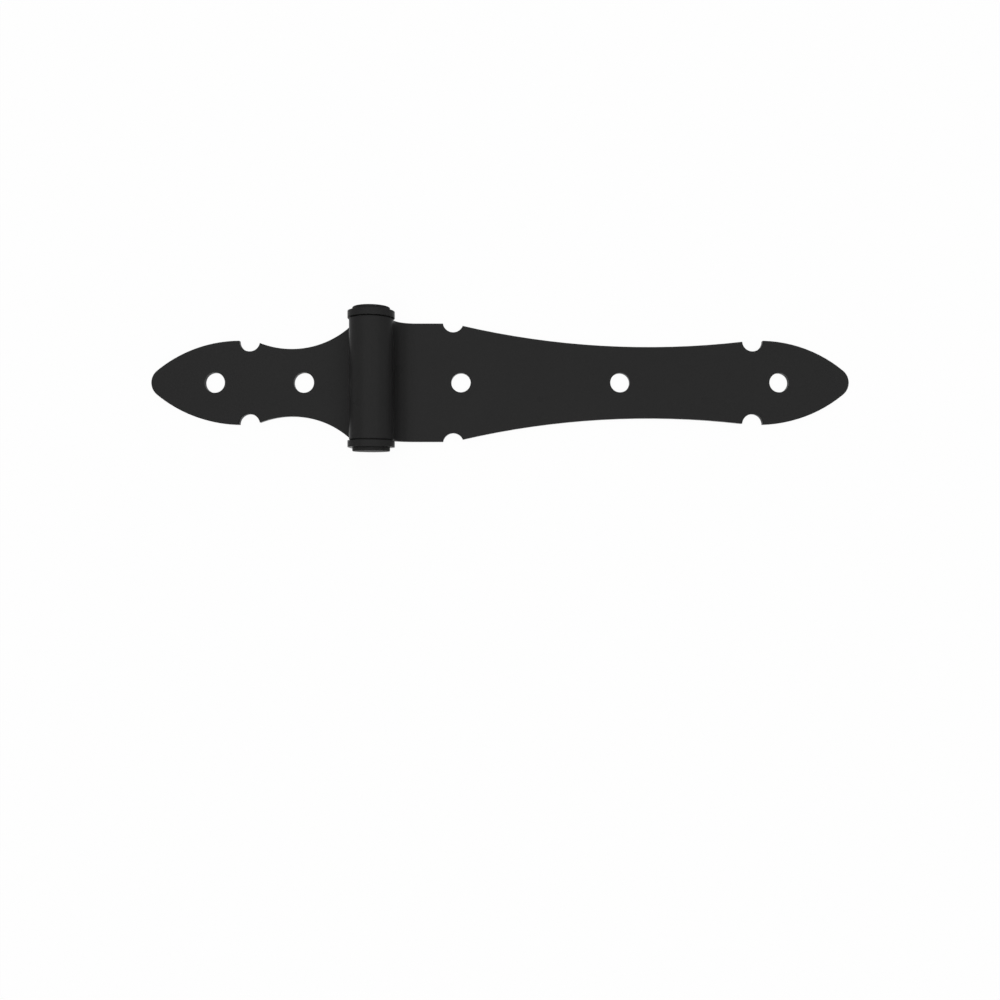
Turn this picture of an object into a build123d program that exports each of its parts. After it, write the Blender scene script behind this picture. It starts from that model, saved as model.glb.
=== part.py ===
from build123d import *
from math import acos, atan2, cos, pi, sin, sqrt
import os

# Half strap hinge in black coated steel sheet, lying on its back and opened flat.
# X runs along the leaves, Y along the hinge pin and Z out of the front faces.
# The origin is on the short leaf's back face, straight under the pin's axis.

# Sheet, pin and barrel
sheet = 2.0
pin_diameter = 9.3
barrel_length = 37.2
barrel_bend_radius = 6.3  # front of the bend that lifts the long leaf into the barrel
barrel_clearance = 0.1  # all round the pin, so that the barrel turns on it
barrel_lift = 0.85  # room between the barrel and the short leaf under it
curl_gap = 0.5  # left between the end of the rolled sheet and the back of the bend
edge_break = 0.25  # softened front edges of the stamped sheet

# Ears and pin heads
ear_gap = 0.15  # side play between the barrel's end and each ear
ear_rim = 0.45  # how far the ears' round eyes stand out past the barrel
ear_bend_radius = 0.9  # inside of the bend between the short leaf and an ear
ear_hole_clearance = 0.05
short_leaf_overrun = 4.0  # how far the short leaf reaches past the pin's axis
head_overhang = 1.1  # how far the riveted heads stand out past the pin
head_thickness = 1.25
head_edge_break = 0.15

# Pointed lobes at both tips
lobe_width = 26.4
lobe_length = 27.9  # from the tip to where the sides are straight
nose_radius = 4.9
notch_radius = 3.25
lobe_notch_inset = 0.1  # notch centres lie this far inside the lobe's straight sides

# Long leaf, measured from the pin's axis
long_reach = 149.1
long_shoulder_at = 24.7  # where the waist's curve starts, and the middle of the notches there
long_waist_width = 22.4
long_lobe_sides = 2.9  # straight stretch between the waist's curve and the lobe's curve
long_notch_overlap = 0.9  # how far the notches reach past the start of the lobe's curve
long_hole_diameter = 6.1
long_first_hole = 27.15
long_hole_spacing = 50.0
long_hole_count = 3
shoulder_notch_outset = 0.5  # notch centres lie this far outside the leaf's straight edge

# Short leaf, measured from the pin's axis
short_reach = 70.2
short_shoulder_margin = 0.25  # flat sheet between an ear's foot and the waist's curve
short_waist_width = 21.2
short_lobe_sides = 4.6
short_notch_overlap = 0.25
short_hole_diameter = 6.4
short_first_hole = 22.2
short_hole_spacing = 28.0
short_hole_count = 2

# Sizes that follow
bore_radius = pin_diameter / 2 + barrel_clearance
barrel_radius = bore_radius + sheet
pin_height = sheet + barrel_lift + barrel_radius  # axis of the pin above the back faces
head_radius = pin_diameter / 2 + head_overhang
ear_radius = barrel_radius + ear_rim
ear_foot = sheet + ear_bend_radius  # height where an ear's flat side starts
ear_inner = barrel_length / 2 + ear_gap
ear_outer = ear_inner + sheet
ear_bend_start = ear_inner - ear_bend_radius
pin_axis = (0, pin_height)  # in sections across the pin
bend_centre_z = sheet + barrel_bend_radius
bend_to_pin = barrel_radius + barrel_bend_radius
bend_centre_x = sqrt(bend_to_pin**2 - (bend_centre_z - pin_height) ** 2)
crown = lobe_width / 2
nose_to_crown = lobe_length - nose_radius
lobe_side_radius = (nose_to_crown**2 + crown**2 - nose_radius**2) / (2 * (crown - nose_radius))


def on_circle(centre, radius, angle):
    # Point on a circle, the angle in radians
    return (centre[0] + radius * cos(angle), centre[1] + radius * sin(angle))


def waist_place(shoulder, root_half, neck, waist_half):
    # Where a circular arc from the shoulder to the neck comes down to the waist's width
    near_drop = root_half - waist_half
    far_drop = crown - waist_half
    span = neck - shoulder
    square = span**2 + far_drop**2 - near_drop * far_drop
    return shoulder + square / (span + sqrt(span**2 - (1 - far_drop / near_drop) * square))


def leaf_outline(side, root, root_half, shoulder, waist_width, lobe_sides, reach):
    # Outline of one leaf: side is 1 for the long leaf and -1 for the short one.
    # A straight root, a hollow waist and a pointed lobe with a round nose.
    lobe_start = reach - lobe_length
    neck = lobe_start - lobe_sides
    waist_half = waist_width / 2
    waist_at = waist_place(shoulder, root_half, neck, waist_half)
    side_centre = (lobe_start, crown - lobe_side_radius)
    nose_centre = (reach - nose_radius, 0)
    join = atan2(nose_centre[1] - side_centre[1], nose_centre[0] - side_centre[0])
    side_middle = on_circle(side_centre, lobe_side_radius, (join + pi / 2) / 2)
    side_end = on_circle(side_centre, lobe_side_radius, join)
    nose_middle = on_circle(nose_centre, nose_radius, join / 2)

    def place(point):
        return (side * point[0], point[1])

    with BuildLine() as outline:
        Polyline(place((root, 0)), place((root, root_half)), place((shoulder, root_half)))
        ThreePointArc(place((shoulder, root_half)), place((waist_at, waist_half)), place((neck, crown)))
        Line(place((neck, crown)), place((lobe_start, crown)))
        ThreePointArc(place((lobe_start, crown)), place(side_middle), place(side_end))
        ThreePointArc(place(side_end), place(nose_middle), place((reach, 0)))
        mirror(about=Plane.XZ)
    make_face(outline.edges())


def cut_notches(at, half_width):
    # A half-round notch on each long edge
    with Locations((at, half_width), (at, -half_width)):
        Circle(notch_radius, mode=Mode.SUBTRACT)


def lobe_notch_at(reach, overlap):
    # Middle of the notches at a lobe, from the pin's axis
    return reach - lobe_length + overlap - notch_radius


def cut_holes(side, first, spacing, count, diameter):
    # A row of plain screw holes on the leaf's centre line
    middle = side * (first + spacing * (count - 1) / 2)
    with Locations((middle, 0)):
        with GridLocations(spacing, 1, count, 1):
            Circle(diameter / 2, mode=Mode.SUBTRACT)


def outer_rim(part, side, root):
    # Edges round the flat front face, apart from those at the leaf's root
    front = part.faces().filter_by(Plane.XY).sort_by(Axis.Z)[-1]
    return front.outer_wire().edges().filter_by(lambda edge: side * edge.center().X > root + edge_break)


# Long leaf: strap, bend and rolled barrel in one sheet
with BuildPart() as long_leaf:
    with BuildSketch():
        leaf_outline(
            side=1,
            root=bend_centre_x,
            root_half=barrel_length / 2,
            shoulder=long_shoulder_at,
            waist_width=long_waist_width,
            lobe_sides=long_lobe_sides,
            reach=long_reach,
        )
        cut_notches(long_shoulder_at, barrel_length / 2 + shoulder_notch_outset)
        cut_notches(lobe_notch_at(long_reach, long_notch_overlap), crown - lobe_notch_inset)
        cut_holes(1, long_first_hole, long_hole_spacing, long_hole_count, long_hole_diameter)
    extrude(amount=sheet)
    # Section across the pin: the bend meets the barrel's circle smoothly, and the roll
    # goes over the pin and under it until it nearly touches the back of the bend.
    bend_centre = (bend_centre_x, bend_centre_z)
    meet = atan2(bend_centre_z - pin_height, bend_centre_x)
    back_radius = barrel_bend_radius + sheet
    curl_reach = back_radius + curl_gap  # from the bend's centre to the end of the roll
    opening = acos((barrel_radius**2 + bend_to_pin**2 - curl_reach**2) / (2 * barrel_radius * bend_to_pin))
    curl_end = meet - opening + 2 * pi
    curl_middle = (meet + curl_end) / 2
    bend_middle = (meet + pi + 3 * pi / 2) / 2
    with BuildSketch(Plane.XZ):
        with BuildLine():
            ThreePointArc(
                (bend_centre_x, sheet),
                on_circle(bend_centre, barrel_bend_radius, bend_middle),
                on_circle(pin_axis, barrel_radius, meet),
            )
            ThreePointArc(
                on_circle(pin_axis, barrel_radius, meet),
                on_circle(pin_axis, barrel_radius, curl_middle),
                on_circle(pin_axis, barrel_radius, curl_end),
            )
            Line(on_circle(pin_axis, barrel_radius, curl_end), on_circle(pin_axis, bore_radius, curl_end))
            ThreePointArc(
                on_circle(pin_axis, bore_radius, curl_end),
                on_circle(pin_axis, bore_radius, curl_middle),
                on_circle(pin_axis, bore_radius, meet),
            )
            ThreePointArc(
                on_circle(pin_axis, bore_radius, meet),
                on_circle(bend_centre, back_radius, bend_middle),
                (bend_centre_x, 0),
            )
            Line((bend_centre_x, 0), (bend_centre_x, sheet))
        make_face()
    extrude(amount=barrel_length / 2, both=True)
    chamfer(outer_rim(long_leaf, 1, bend_centre_x), edge_break)
long_leaf.part.label = "long_leaf"

# Short leaf: flat strap that runs under the barrel and turns up into two ears
with BuildPart() as short_leaf:
    with BuildSketch():
        leaf_outline(
            side=-1,
            root=-short_leaf_overrun,
            root_half=ear_bend_start,
            shoulder=ear_radius + short_shoulder_margin,
            waist_width=short_waist_width,
            lobe_sides=short_lobe_sides,
            reach=short_reach,
        )
        cut_notches(-lobe_notch_at(short_reach, short_notch_overlap), crown - lobe_notch_inset)
        cut_holes(-1, short_first_hole, short_hole_spacing, short_hole_count, short_hole_diameter)
    extrude(amount=sheet)
    chamfer(outer_rim(short_leaf, -1, ear_radius), edge_break)
    # Quarter-round bend at the foot of an ear
    with BuildSketch(Plane.YZ.offset(-ear_radius)):
        with BuildLine():
            CenterArc((ear_bend_start, ear_foot), ear_bend_radius, -90, 90)
            CenterArc((ear_bend_start, ear_foot), ear_foot, -90, 90)
            Line((ear_bend_start, 0), (ear_bend_start, sheet))
            Line((ear_inner, ear_foot), (ear_outer, ear_foot))
        make_face()
    extrude(amount=ear_radius + short_leaf_overrun)
    # Ear: a round eye for the pin on a straight foot, both cut off level where the bend starts
    foot_corner = (-ear_radius, ear_foot)
    foot_width = ear_radius + short_leaf_overrun
    with BuildSketch(Plane.XZ.offset(-ear_outer)):
        with Locations(foot_corner):
            Rectangle(foot_width, pin_height - ear_foot, align=(Align.MIN, Align.MIN))
        with Locations(pin_axis):
            Circle(ear_radius)
            Circle(pin_diameter / 2 + ear_hole_clearance, mode=Mode.SUBTRACT)
        with Locations(foot_corner):
            Rectangle(2 * ear_radius, ear_radius, align=(Align.MIN, Align.MAX), mode=Mode.SUBTRACT)
    extrude(amount=sheet)
    mirror(about=Plane.XZ)
short_leaf.part.label = "short_leaf"

# Hinge pin, riveted over outside both ears
with BuildPart() as hinge_pin:
    with BuildSketch(Plane.XZ):
        with Locations(pin_axis):
            Circle(pin_diameter / 2)
    extrude(amount=ear_outer, both=True)
    for side in (-1, 1):
        with BuildSketch(Plane.XZ.offset(side * ear_outer)):
            with Locations(pin_axis):
                Circle(head_radius)
        extrude(amount=side * head_thickness)
    rims = hinge_pin.edges().filter_by(GeomType.CIRCLE).group_by(Axis.Y)
    chamfer(rims[0] + rims[-1], head_edge_break)
hinge_pin.part.label = "hinge_pin"

os.makedirs("parts", exist_ok=True)
for piece in (long_leaf, short_leaf, hinge_pin):
    export_step(piece.part, f"parts/{piece.part.label}.step")
    print(piece.part.label, round(piece.part.volume, 1), "mm3")
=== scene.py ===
import bpy
import math
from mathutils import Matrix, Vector


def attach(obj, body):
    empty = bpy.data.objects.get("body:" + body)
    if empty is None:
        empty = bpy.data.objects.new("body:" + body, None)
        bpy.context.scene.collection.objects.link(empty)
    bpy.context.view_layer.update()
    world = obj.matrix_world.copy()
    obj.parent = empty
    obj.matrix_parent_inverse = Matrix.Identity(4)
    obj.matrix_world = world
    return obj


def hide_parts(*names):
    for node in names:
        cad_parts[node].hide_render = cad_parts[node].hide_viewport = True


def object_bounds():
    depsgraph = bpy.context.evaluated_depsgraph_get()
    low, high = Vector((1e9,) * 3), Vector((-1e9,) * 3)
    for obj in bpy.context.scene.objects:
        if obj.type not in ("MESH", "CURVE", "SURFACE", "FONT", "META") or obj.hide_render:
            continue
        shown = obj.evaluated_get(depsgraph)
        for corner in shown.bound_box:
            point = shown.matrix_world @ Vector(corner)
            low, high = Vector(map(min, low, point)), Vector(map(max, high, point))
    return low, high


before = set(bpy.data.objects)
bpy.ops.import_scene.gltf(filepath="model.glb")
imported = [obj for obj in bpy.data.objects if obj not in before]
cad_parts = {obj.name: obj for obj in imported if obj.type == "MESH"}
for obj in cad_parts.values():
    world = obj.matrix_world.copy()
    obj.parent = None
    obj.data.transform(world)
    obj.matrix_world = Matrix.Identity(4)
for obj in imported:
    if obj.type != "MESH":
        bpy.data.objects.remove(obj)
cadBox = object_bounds()
mm = 0.001
print("frame loaded:", ", ".join(sorted(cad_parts)))

# Camera: straight above, looking down, with the hinge in the upper half of the picture
photoView = {
    "pixelsPerMm": 3.162,  # at the back faces
    "originAt": (375.3, 383.35),  # pixel of the point on the back faces straight under the pin
    "heightMm": 300.4,  # lens above the back faces
    "pictureSize": 1000,
    "sensorMm": 36.0,
}


def makeCamera(view):
    middle = view["pictureSize"] / 2
    originColumn, originRow = view["originAt"]
    right = (middle - originColumn) / view["pixelsPerMm"]
    down = (middle - originRow) / view["pixelsPerMm"]
    cameraData = bpy.data.cameras.new("photoCamera")
    cameraData.sensor_width = view["sensorMm"]
    cameraData.lens = view["sensorMm"] * view["heightMm"] * view["pixelsPerMm"] / view["pictureSize"]
    camera = bpy.data.objects.new("photoCamera", cameraData)
    camera.location = (right * mm, -down * mm, view["heightMm"] * mm)
    bpy.context.scene.collection.objects.link(camera)
    bpy.context.scene.camera = camera


makeCamera(photoView)
print("camera placed")


# Node helpers

def addNode(tree, kind, place, **settings):
    node = tree.nodes.new(kind)
    node.location = place
    for name, value in settings.items():
        setattr(node, name, value)
    return node


def addSockets(group, direction, kind, *names):
    for name in names:
        group.interface.new_socket(name=name, in_out=direction, socket_type=kind)


def seenDirectly(tree, place):
    # 1 for camera, glossy and transmission rays, 0 for the light that falls on the hinge
    path = addNode(tree, "ShaderNodeLightPath", place)
    first = addNode(tree, "ShaderNodeMath", (place[0] + 200, place[1]), operation="MAXIMUM")
    second = addNode(tree, "ShaderNodeMath", (place[0] + 400, place[1]), operation="MAXIMUM")
    tree.links.new(path.outputs["Is Camera Ray"], first.inputs[0])
    tree.links.new(path.outputs["Is Glossy Ray"], first.inputs[1])
    tree.links.new(first.outputs[0], second.inputs[0])
    tree.links.new(path.outputs["Is Transmission Ray"], second.inputs[1])
    return second.outputs[0]


# White studio: floor, surroundings and soft light
studio = {
    "floorSize": 6.0,
    "floorDrop": 0.00002,  # floor below the back faces, so that the two don't coincide
    "floorColour": (0.94, 0.94, 0.94, 1.0),
    "whiteStrength": 1.0,  # what the camera and reflections see of the surroundings
    "plainWhite": 0.96,  # share of the floor's white that the hinge's shadow doesn't reach
    "skyLight": 0.02,
    "lampDistance": 1.45,
    "lampGlow": 1.5,  # brightness of the lamps' faces in a reflection, where white is 1
    "softboxes": {
        # direction round the hinge and height in degrees, share of the light on a flat face
        "aboveShortLeaf": (180, 76, 0.38),
        "aboveLongLeaf": (0, 60, 0.16),
        "alongPinNear": (-90, 44, 0.23),
        "alongPinFar": (90, 44, 0.23),
    },
}


def makeFloor(settings):
    bpy.ops.object.select_all(action="DESELECT")
    bpy.ops.mesh.primitive_plane_add(size=settings["floorSize"], location=(0, 0, -settings["floorDrop"]))
    floor = bpy.context.active_object
    floor.name = "studioFloor"
    material = bpy.data.materials.new("studioFloorWhite")
    material.use_nodes = True
    tree = material.node_tree
    tree.nodes.clear()
    seen = seenDirectly(tree, (-800, 200))
    share = addNode(tree, "ShaderNodeMath", (-200, 200), operation="MULTIPLY")
    share.inputs[1].default_value = settings["plainWhite"]
    matt = addNode(tree, "ShaderNodeBsdfDiffuse", (-200, 0))
    matt.inputs["Color"].default_value = settings["floorColour"]
    white = addNode(tree, "ShaderNodeEmission", (-200, -200))
    white.inputs["Strength"].default_value = settings["whiteStrength"]
    mix = addNode(tree, "ShaderNodeMixShader", (100, 0))
    output = addNode(tree, "ShaderNodeOutputMaterial", (300, 0))
    tree.links.new(seen, share.inputs[0])
    tree.links.new(share.outputs[0], mix.inputs[0])
    tree.links.new(matt.outputs[0], mix.inputs[1])
    tree.links.new(white.outputs[0], mix.inputs[2])
    tree.links.new(mix.outputs[0], output.inputs["Surface"])
    floor.data.materials.append(material)


def makeSky(settings):
    world = bpy.data.worlds.new("studioSky")
    bpy.context.scene.world = world
    world.use_nodes = True
    tree = world.node_tree
    tree.nodes.clear()
    seen = seenDirectly(tree, (-900, 200))
    strength = addNode(tree, "ShaderNodeMapRange", (-300, 200))
    strength.inputs["To Min"].default_value = settings["skyLight"]
    strength.inputs["To Max"].default_value = settings["whiteStrength"]
    background = addNode(tree, "ShaderNodeBackground", (0, 0))
    background.inputs["Color"].default_value = (1, 1, 1, 1)
    output = addNode(tree, "ShaderNodeOutputWorld", (200, 0))
    tree.links.new(seen, strength.inputs["Value"])
    tree.links.new(strength.outputs["Result"], background.inputs["Strength"])
    tree.links.new(background.outputs[0], output.inputs["Surface"])


def makeSoftboxes(settings):
    target = (cadBox[0] + cadBox[1]) / 2
    distance = settings["lampDistance"]
    for name, (direction, height, share) in settings["softboxes"].items():
        turn = math.radians(direction)
        across = distance * math.cos(math.radians(height))
        up = distance * math.sin(math.radians(height))
        away = Vector((across * math.cos(turn), across * math.sin(turn), up))
        # at this glow, a face of this area gives the flat leaves the lamp's share of the light
        area = share * math.pi * distance**3 / (up * settings["lampGlow"])
        light = bpy.data.lights.new(name, "AREA")
        light.size = math.sqrt(area)
        light.energy = math.pi * area * settings["lampGlow"]
        lamp = bpy.data.objects.new(name, light)
        lamp.location = target + away
        lamp.rotation_euler = (-away).to_track_quat("-Z", "Y").to_euler()
        bpy.context.scene.collection.objects.link(lamp)


makeFloor(studio)
makeSky(studio)
makeSoftboxes(studio)
bpy.context.scene.view_settings.view_transform = "Standard"
print("studio ready")

# Powder coat: a fine orange peel, a little cloudiness and uneven gloss
coatNoise = {
    "cloudDetail": 3.0,
    "peelDetail": 1.0,
    "grainDetail": 2.0,
    "cloudRange": (0.3, 0.7),  # nearly all of the cloud noise lies between these
}


def powderCoatGroup(settings):
    group = bpy.data.node_groups.new("powderCoat", "ShaderNodeTree")
    addSockets(group, "INPUT", "NodeSocketVector", "Place in mm")
    addSockets(group, "INPUT", "NodeSocketColor", "Deep Colour", "Light Colour")
    addSockets(group, "INPUT", "NodeSocketFloat", "Cloud Size", "Peel Size", "Grain Size", "Grain Share")
    addSockets(group, "INPUT", "NodeSocketFloat", "Smoothest", "Roughest")
    addSockets(group, "OUTPUT", "NodeSocketColor", "Colour")
    addSockets(group, "OUTPUT", "NodeSocketFloat", "Roughness", "Height")
    inside = addNode(group, "NodeGroupInput", (-1100, 0))
    outside = addNode(group, "NodeGroupOutput", (700, 0))

    def noiseOf(sizeName, place, detail):
        # the noise's scale is one over the size in mm
        perMm = addNode(group, "ShaderNodeMath", (place[0] - 200, place[1]), operation="DIVIDE")
        perMm.inputs[0].default_value = 1.0
        noise = addNode(group, "ShaderNodeTexNoise", place)
        noise.inputs["Detail"].default_value = detail
        group.links.new(inside.outputs[sizeName], perMm.inputs[1])
        group.links.new(perMm.outputs[0], noise.inputs["Scale"])
        group.links.new(inside.outputs["Place in mm"], noise.inputs["Vector"])
        return noise.outputs["Fac"]

    cloud = noiseOf("Cloud Size", (-500, 300), settings["cloudDetail"])
    peel = noiseOf("Peel Size", (-500, 0), settings["peelDetail"])
    grain = noiseOf("Grain Size", (-500, -300), settings["grainDetail"])
    tint = addNode(group, "ShaderNodeMix", (-100, 300), data_type="RGBA")
    gloss = addNode(group, "ShaderNodeMapRange", (-100, 50))
    gloss.inputs["From Min"].default_value = settings["cloudRange"][0]
    gloss.inputs["From Max"].default_value = settings["cloudRange"][1]
    relief = addNode(group, "ShaderNodeMix", (-100, -250), data_type="FLOAT")
    group.links.new(cloud, tint.inputs["Factor"])
    group.links.new(inside.outputs["Deep Colour"], tint.inputs["A"])
    group.links.new(inside.outputs["Light Colour"], tint.inputs["B"])
    group.links.new(cloud, gloss.inputs["Value"])
    group.links.new(inside.outputs["Smoothest"], gloss.inputs["To Min"])
    group.links.new(inside.outputs["Roughest"], gloss.inputs["To Max"])
    group.links.new(inside.outputs["Grain Share"], relief.inputs["Factor"])
    group.links.new(peel, relief.inputs["A"])
    group.links.new(grain, relief.inputs["B"])
    group.links.new(tint.outputs["Result"], outside.inputs["Colour"])
    group.links.new(gloss.outputs["Result"], outside.inputs["Roughness"])
    group.links.new(relief.outputs["Result"], outside.inputs["Height"])
    return group


powderCoat = powderCoatGroup(coatNoise)


def coatMaterial(name, settings):
    material = bpy.data.materials.new(name)
    material.use_nodes = True
    tree = material.node_tree
    shader = tree.nodes["Principled BSDF"]
    shader.inputs["Specular IOR Level"].default_value = settings["specularLevel"]
    place = addNode(tree, "ShaderNodeTexCoord", (-1100, 0))
    inMm = addNode(tree, "ShaderNodeMapping", (-900, 0))
    inMm.inputs["Scale"].default_value = (1 / mm,) * 3
    inMm.inputs["Location"].default_value = settings["patternShiftMm"]
    coat = addNode(tree, "ShaderNodeGroup", (-600, 0), node_tree=powderCoat)
    for socketName, value in settings["coat"].items():
        coat.inputs[socketName].default_value = value
    bump = addNode(tree, "ShaderNodeBump", (-300, -200))
    bump.inputs["Strength"].default_value = settings["bumpStrength"]
    bump.inputs["Distance"].default_value = settings["bumpMm"] * mm
    tree.links.new(place.outputs["Object"], inMm.inputs["Vector"])
    tree.links.new(inMm.outputs["Vector"], coat.inputs["Place in mm"])
    tree.links.new(coat.outputs["Colour"], shader.inputs["Base Color"])
    tree.links.new(coat.outputs["Roughness"], shader.inputs["Roughness"])
    tree.links.new(coat.outputs["Height"], bump.inputs["Height"])
    tree.links.new(bump.outputs["Normal"], shader.inputs["Normal"])
    return material


# Pieces: merged copies of the CAD nodes with softly rounded coated edges

def selectOnly(piece):
    bpy.ops.object.select_all(action="DESELECT")
    piece.select_set(True)
    bpy.context.view_layer.objects.active = piece


def coatedPiece(nodeName, body, settings):
    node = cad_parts[nodeName]
    piece = bpy.data.objects.new(settings["name"], node.data.copy())
    bpy.context.scene.collection.objects.link(piece)
    selectOnly(piece)
    bpy.ops.mesh.customdata_custom_splitnormals_clear()
    bpy.ops.object.mode_set(mode="EDIT")
    bpy.ops.mesh.select_all(action="SELECT")
    bpy.ops.mesh.remove_doubles(threshold=settings["mergeMm"] * mm)
    bpy.ops.mesh.dissolve_limited(angle_limit=math.radians(settings["flatDegrees"]))
    bpy.ops.object.mode_set(mode="OBJECT")
    bpy.ops.object.shade_smooth()
    bevel = piece.modifiers.new("softEdges", "BEVEL")
    bevel.limit_method = "ANGLE"
    bevel.angle_limit = math.radians(settings["sharpDegrees"])
    bevel.width = settings["edgeMm"] * mm
    bevel.segments = settings["edgeSteps"]
    bevel.harden_normals = True
    bpy.ops.object.modifier_apply(modifier=bevel.name)
    piece.data.materials.clear()
    piece.data.materials.append(coatMaterial(settings["name"] + "Coat", settings["finish"]))
    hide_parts(nodeName)
    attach(piece, body)
    print(piece.name, "dressed:", len(piece.data.polygons), "faces")


leafFinish = {
    "specularLevel": 0.03,
    "patternShiftMm": (0, 0, 0),  # each piece shows another stretch of the coat's pattern
    "bumpStrength": 0.8,
    "bumpMm": 0.06,
    "coat": {
        # sizes are in mm, and a higher roughness is duller
        "Deep Colour": (0.021, 0.021, 0.021, 1),
        "Light Colour": (0.024, 0.024, 0.024, 1),
        "Cloud Size": 22.0,
        "Peel Size": 0.75,
        "Grain Size": 0.18,
        "Grain Share": 0.3,
        "Smoothest": 0.26,
        "Roughest": 0.34,
    },
}

longLeaf = {
    "name": "longLeafSheet",
    "slot": "leaf_coating",
    "mergeMm": 0.001,  # corners nearer than this become one
    "flatDegrees": 0.2,  # faces that meet flatter than this become one
    "sharpDegrees": 28,  # edges that turn more than this are rounded
    "edgeMm": 0.12,
    "edgeSteps": 3,
    "finish": leafFinish,
}
shortLeaf = dict(longLeaf, name="shortLeafSheet", finish=dict(leafFinish, patternShiftMm=(41, 13, 7)))
hingePin = dict(
    longLeaf,
    name="rivetedPin",
    slot="pin_coating",
    finish=dict(
        leafFinish,
        patternShiftMm=(5, 67, 23),
        # the riveted heads are a little duller than the flat sheet
        coat=dict(leafFinish["coat"], Smoothest=0.44, Roughest=0.52),
    ),
)

coatedPiece("long_leaf", "door_side", longLeaf)
coatedPiece("short_leaf", "post_side", shortLeaf)
coatedPiece("hinge_pin", "post_side", hingePin)
